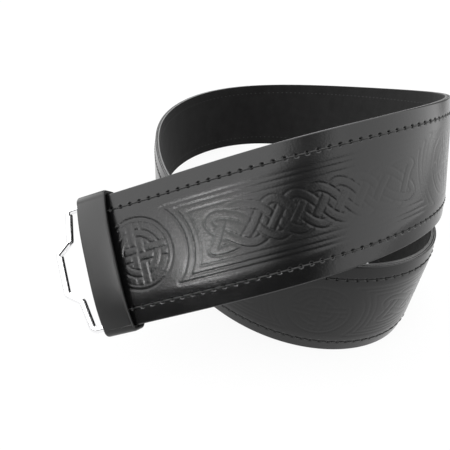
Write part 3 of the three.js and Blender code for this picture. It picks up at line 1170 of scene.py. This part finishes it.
class KILTBELT_OT_stitches(bpy.types.Operator):
    """Sew the two plies together along both edges and across the tail"""

    bl_idname = "kiltbelt.stitches"
    bl_label = "Stitching"

    def execute(self, context):
        scene = context.scene
        strap = Strap(context)
        stitches = scene.kilt_stitch
        material = waxed_thread("black_thread", scene.kilt_finish.thread)
        s = strap.sizes
        sides = (
            ("stitching_face", strap.face_depth + s.face_thickness / 2, 1),
            ("stitching_back", strap.backing_depth - s.backing_thickness / 2, -1),
        )
        shares = np.linspace(0, 1, STITCH_POINTS)
        lift = np.sin(shares * math.pi) ** STITCH_ARCH
        angles = np.arange(THREAD_SIDES) / THREAD_SIDES * 2 * math.pi
        radius = stitches.thread / 2
        thick = radius * (STITCH_ENDS + (1 - STITCH_ENDS) * lift)
        side = np.cos(angles)[None, :] * thick[:, None]
        rise = np.sin(angles)[None, :] * thick[:, None] * STITCH_FLATNESS
        tube = grid_faces(STITCH_POINTS, THREAD_SIDES, False, True)
        start_cap = list(range(THREAD_SIDES))
        end_cap = [(STITCH_POINTS - 1) * THREAD_SIDES + i for i in start_cap]
        stitch_faces = [quad[::-1] for quad in tube] + [start_cap, end_cap[::-1]]
        for name, surface, facing in sides:
            points, faces = [], []
            for (l0, h0), (l1, h1) in stitch_places(strap, stitches):
                there = strap.route.at(l0 + (l1 - l0) * shares)
                sunk = surface + facing * radius * (STITCH_RISE * lift - STITCH_SUNK)
                middle = beside(there, h0 + (h1 - h0) * shares, sunk)
                run = there["along"] if h1 == h0 else -there["across"]
                ring = sections(middle, np.cross(there["out"], run), there["out"], side, rise)
                base = len(points)
                points.extend(ring.reshape(-1, 3))
                faces.extend([base + i for i in face] for face in stitch_faces)
            mesh_piece(name, points, faces, material, "belt")
        return {"FINISHED"}


def keeper_line(strap, keeper):
    """The keeper's inner outline round the strap: places across and out, and the way each faces."""
    s = strap.sizes
    side = strap.half + s.clearance - keeper.corner_radius
    front = strap.face_depth + s.face_thickness / 2 + s.clearance
    back = strap.fold_back_depth - s.face_thickness / 2 - s.clearance
    radius = keeper.corner_radius
    points = []

    def corner(x, y, start):
        for angle in start + quarter(KEEPER_FACETS):
            points.append((x + radius * math.cos(angle), y + radius * math.sin(angle)))

    corner(side, back + radius, -math.pi / 2)
    corner(side, front - radius, 0)
    for share in np.linspace(1, -1, KEEPER_FRONT_FACETS + 1)[1:-1]:
        bow = keeper.bow * (1 - abs(share) ** KEEPER_BOW_POWER)
        points.append((share * side, front + bow))
    corner(-side, front - radius, math.pi / 2)
    corner(-side, back + radius, math.pi)
    for share in np.linspace(-1, 1, KEEPER_BACK_FACETS + 1)[1:-1]:
        points.append((share * side, back))
    points = np.array(points)
    step = np.roll(points, -1, axis=0) - np.roll(points, 1, axis=0)
    facing = np.stack((step[:, 1], -step[:, 0]), 1)
    return points, facing / np.linalg.norm(facing, axis=1, keepdims=True)


class KILTBELT_OT_keeper(bpy.types.Operator):
    """Build the leather keeper, bowed off the strap's face"""

    bl_idname = "kiltbelt.keeper"
    bl_label = "Keeper"

    def execute(self, context):
        scene = context.scene
        strap = Strap(context)
        keeper = scene.kilt_keeper
        material = leather(
            "black_keeper_leather", scene.kilt_finish.keeper,
            roughness=0.34, shine=0.38, grain=0.5 * MM, spread=0.12,
        )
        radius = keeper.edge_radius
        width, thick = keeper.width - radius, keeper.thickness - radius
        section = []
        corners = ((width, radius), (width, thick), (radius, thick), (radius, radius))
        for turns, (x, y) in enumerate(corners):
            for angle in quarter(KEEPER_EDGE_FACETS) + (turns - 1) * math.pi / 2:
                section.append((x + radius * math.cos(angle), y + radius * math.sin(angle)))
        points, facing = keeper_line(strap, keeper)
        base = strap.route.at([-keeper.overhang])
        inner = beside(base, points[:, 0], points[:, 1])
        outward = base["across"] * facing[:, :1] + base["out"] * facing[:, 1:]
        side, rise = np.array(section).T[:, None, :]
        rings = sections(inner, base["along"], outward, side, rise)
        piece = sweep("keeper", rings, material, "belt", closed=True)
        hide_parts("keeper_loop")
        return {"FINISHED"}


def rounded_outline(corners, facets):
    """A closed outline of (along, across, radius) corners with each corner rounded."""
    places = [np.array(c[:2]) for c in corners]
    made = []
    for i, (_, _, radius) in enumerate(corners):
        here, before, after = places[i], places[i - 1], places[(i + 1) % len(corners)]
        back = (before - here) / np.linalg.norm(before - here)
        ahead = (after - here) / np.linalg.norm(after - here)
        half = math.acos(max(-1, min(1, float(back @ ahead)))) / 2
        inward = (back + ahead) / np.linalg.norm(back + ahead)
        centre = here + inward * radius / math.sin(half)
        start = here + back * radius / math.tan(half) - centre
        bend = math.pi - 2 * half
        side = -math.copysign(1, back[0] * ahead[1] - back[1] * ahead[0])
        for facet in range(facets + 1):
            angle = side * bend * facet / facets
            cosine, sine = math.cos(angle), math.sin(angle)
            x = cosine * start[0] - sine * start[1]
            y = sine * start[0] + cosine * start[1]
            made.append(centre + (x, y))
    return np.array(made)


class KILTBELT_OT_ring(bpy.types.Operator):
    """Bend the chromed wire ring that the buckle hooks into"""

    bl_idname = "kiltbelt.ring"
    bl_label = "Hook Ring"

    def execute(self, context):
        scene = context.scene
        strap = Strap(context)
        ring = scene.kilt_ring
        wire = ring.wire / 2
        neck = -ring.reach - ring.slope
        hook = neck - ring.step
        hook_half = ring.step_width / 2
        neck_half = hook_half + ring.step_spread
        upper = (
            (strap.bar_at, strap.ring_half, wire),
            (-ring.reach, strap.ring_half, ring.corner_radius),
            (neck, neck_half, ring.step_radius),
            (hook, hook_half, ring.step_radius),
        )
        lower = tuple((along, -across, radius) for along, across, radius in reversed(upper))
        outline = rounded_outline(upper + lower, BEND_FACETS)
        step = np.roll(outline, -1, axis=0) - np.roll(outline, 1, axis=0)
        step /= np.linalg.norm(step, axis=1, keepdims=True)
        base = strap.route.at([0.0])
        middle = base["point"] + base["out"] * strap.bar_depth
        lines = middle + outline[:, :1] * base["along"] + outline[:, 1:] * base["across"]
        sideways = -step[:, 1:] * base["along"] + step[:, :1] * base["across"]
        angles = np.arange(WIRE_SIDES) / WIRE_SIDES * 2 * math.pi
        side, rise = (wire * turned[None, :] for turned in (np.cos(angles), np.sin(angles)))
        rings = sections(lines, sideways, base["out"], side, rise)
        material = chromed("polished_chrome", scene.kilt_finish.chrome)
        piece = sweep("hook_ring_wire", rings[:, ::-1], material, "ring", closed=True)
        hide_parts("hook_ring")
        return {"FINISHED"}


# The light tent, as the light that it gives off, and the patches on it that differ, each laid over
# those before. Azimuth runs from the front towards the right, and all angles are in degrees. Soft
# is the width of a patch's blurred edges, across and up.
TENT_STRENGTH = 3.6
TENT = (
    {"patch": "behind, right", "azimuth": (115, 172), "elevation": (-20, 45),
     "soft": (25, 20), "strength": 0.25},
    {"patch": "behind, left", "azimuth": (-172, -140), "elevation": (-20, 45),
     "soft": (20, 20), "strength": 0.25},
    {"patch": "right side", "azimuth": (40, 110), "elevation": (-20, 60),
     "soft": (14, 20), "strength": 2.5},
    {"patch": "opening", "azimuth": (0, 32), "elevation": (-20, 62),
     "soft": (20, 20), "strength": 0.25},
    {"patch": "low, left", "azimuth": (-110, -46), "elevation": (-20, 8),
     "soft": (8, 8), "strength": 0.1},
    {"patch": "low, front", "azimuth": (-47, 42), "elevation": (-20, 25.5),
     "soft": (10, 3), "strength": 0.1},
    {"patch": "lamp", "azimuth": (-35, -19), "elevation": (27.6, 28.8),
     "soft": (18, 3.6), "strength": 92},
)
FLOOR_GLOW = 0.9
FLOOR_HALF = 3.0


def maths(tree, operation, *values):
    """A maths node's result. Each value is a number or another node's output."""
    made = tree.nodes.new("ShaderNodeMath")
    made.operation = operation
    for slot, value in zip(made.inputs, values):
        if isinstance(value, (int, float)):
            slot.default_value = value
        else:
            tree.links.new(value, slot)
    return made.outputs["Value"]


def soft_step(tree, value, start, end):
    """0 at the start and 1 at the end, and smooth between them."""
    made = node(tree, "ShaderNodeMapRange", From_Min=start, From_Max=end)
    made.interpolation_type = "SMOOTHSTEP"
    tree.links.new(value, made.inputs["Value"])
    return made.outputs["Result"]


def tent_light(tree):
    """The tent's light by direction."""
    coordinates = tree.nodes.new("ShaderNodeTexCoord")
    parts = tree.nodes.new("ShaderNodeSeparateXYZ")
    tree.links.new(coordinates.outputs["Generated"], parts.inputs["Vector"])
    x, y, z = parts.outputs
    azimuth = maths(tree, "ARCTAN2", x, maths(tree, "MULTIPLY", y, -1.0))
    elevation = maths(tree, "ARCSINE", z)
    light = None
    for patch in TENT:
        share = None
        for value, name, soft in zip((azimuth, elevation), ("azimuth", "elevation"), patch["soft"]):
            half = soft / 2
            start, end = patch[name]
            low = soft_step(tree, value, math.radians(start - half), math.radians(start + half))
            high = soft_step(tree, value, math.radians(end + half), math.radians(end - half))
            inside = maths(tree, "MULTIPLY", low, high)
            share = inside if share is None else maths(tree, "MULTIPLY", share, inside)
        change = tree.nodes.new("ShaderNodeMix")
        if light is None:
            change.inputs["A"].default_value = TENT_STRENGTH
        else:
            tree.links.new(light, change.inputs["A"])
        change.inputs["B"].default_value = patch["strength"]
        tree.links.new(share, change.inputs["Factor"])
        light = change.outputs["Result"]
    return light


class KILTBELT_OT_stage(bpy.types.Operator):
    """Set up the white studio: floor, soft lights and the camera"""

    bl_idname = "kiltbelt.stage"
    bl_label = "Studio"

    def execute(self, context):
        scene = context.scene
        self.floor(scene)
        self.lights(scene)
        self.camera(scene)
        return {"FINISHED"}

    def floor(self, scene):
        """A pale floor that glows a little, so that it comes out as white as the backdrop."""
        material, tree, shader = new_material("studio_floor")
        shader.inputs["Base Color"].default_value = (*scene.kilt_finish.floor, 1)
        shader.inputs["Roughness"].default_value = 1.0
        shader.inputs["Specular IOR Level"].default_value = 0.0
        shader.inputs["Emission Color"].default_value = (1, 1, 1, 1)
        shader.inputs["Emission Strength"].default_value = FLOOR_GLOW
        corners = ((-1, -1), (1, -1), (1, 1), (-1, 1))
        points = [(FLOOR_HALF * x, FLOOR_HALF * y, 0) for x, y in corners]
        data = bpy.data.meshes.new("floor")
        data.from_pydata(points, [], [(0, 1, 2, 3)])
        data.materials.append(material)
        plane = bpy.data.objects.new("floor", data)
        scene.collection.objects.link(plane)

    def lights(self, scene):
        """The light tent, which the camera itself sees as plain white."""
        world = bpy.data.worlds.new("studio")
        world.use_nodes = True
        tree = world.node_tree
        background = tree.nodes["Background"]
        background.inputs["Color"].default_value = (1, 1, 1, 1)
        seen = tree.nodes.new("ShaderNodeMix")
        seen.inputs["B"].default_value = 1.0
        path = tree.nodes.new("ShaderNodeLightPath")
        tree.links.new(path.outputs["Is Camera Ray"], seen.inputs["Factor"])
        tree.links.new(tent_light(tree), seen.inputs["A"])
        tree.links.new(seen.outputs["Result"], background.inputs["Strength"])
        scene.world = world

    def camera(self, scene):
        """The camera, in front of its target and above it, and rolled."""
        view = scene.kilt_view
        rise, level = math.sin(view.elevation), math.cos(view.elevation)
        ahead = Vector((0, level, -rise))
        right, up = Vector((1, 0, 0)), Vector((0, rise, level))
        cosine, sine = math.cos(view.roll), math.sin(view.roll)
        data = bpy.data.cameras.new("camera")
        data.lens = view.lens
        data.sensor_width = view.sensor
        camera = bpy.data.objects.new("camera", data)
        place = Vector(view.target) - ahead * view.distance
        axes = (right * cosine + up * sine, up * cosine - right * sine, -ahead, place)
        rows = [[axis[row] for axis in axes] for row in range(3)]
        camera.matrix_world = Matrix(rows + [[0, 0, 0, 1]])
        scene.collection.objects.link(camera)
        scene.camera = camera
        scene.view_settings.view_transform = "Standard"


class KILTBELT_PT_panel(bpy.types.Panel):
    """Kilt belt pieces and sizes"""

    bl_label = "Kilt Belt"
    bl_idname = "KILTBELT_PT_panel"
    bl_space_type = "VIEW_3D"
    bl_region_type = "UI"
    bl_category = "Kilt Belt"

    def draw(self, context):
        layout = self.layout
        for label, name, _ in GROUPS:
            box = layout.box()
            box.label(text=label)
            group = getattr(context.scene, name)
            for prop in group.bl_rna.properties:
                if prop.identifier not in {"rna_type", "name"}:
                    box.prop(group, prop.identifier)
        for operator in OPERATORS:
            layout.operator(operator.bl_idname)


OPERATORS = (
    KILTBELT_OT_face,
    KILTBELT_OT_backing,
    KILTBELT_OT_edges,
    KILTBELT_OT_stitches,
    KILTBELT_OT_keeper,
    KILTBELT_OT_ring,
    KILTBELT_OT_stage,
)
GROUPS = (
    ("Strap", "kilt_strap", StrapSizes),
    ("Pattern", "kilt_pattern", PatternSizes),
    ("Stitching", "kilt_stitch", StitchSizes),
    ("Ring", "kilt_ring", RingSizes),
    ("Keeper", "kilt_keeper", KeeperSizes),
    ("Finishes", "kilt_finish", Finishes),
    ("View", "kilt_view", View),
)
CLASSES = (*(kind for _, _, kind in GROUPS), *OPERATORS, KILTBELT_PT_panel)


def register():
    for kind in CLASSES:
        bpy.utils.register_class(kind)
    for _, name, kind in GROUPS:
        setattr(bpy.types.Scene, name, bpy.props.PointerProperty(type=kind))


def unregister():
    for _, name, _ in GROUPS:
        delattr(bpy.types.Scene, name)
    for kind in reversed(CLASSES):
        bpy.utils.unregister_class(kind)


def plain(box):
    """A box's corners as plain lists."""
    return [[float(x) for x in corner] for corner in box]


def main():
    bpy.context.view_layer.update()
    register()
    bpy.ops.kiltbelt.face()
    bpy.ops.kiltbelt.backing()
    bpy.ops.kiltbelt.edges()
    bpy.ops.kiltbelt.stitches()
    bpy.ops.kiltbelt.keeper()
    bpy.ops.kiltbelt.ring()
    bpy.ops.kiltbelt.stage()


if __name__ == "__main__":
    main()
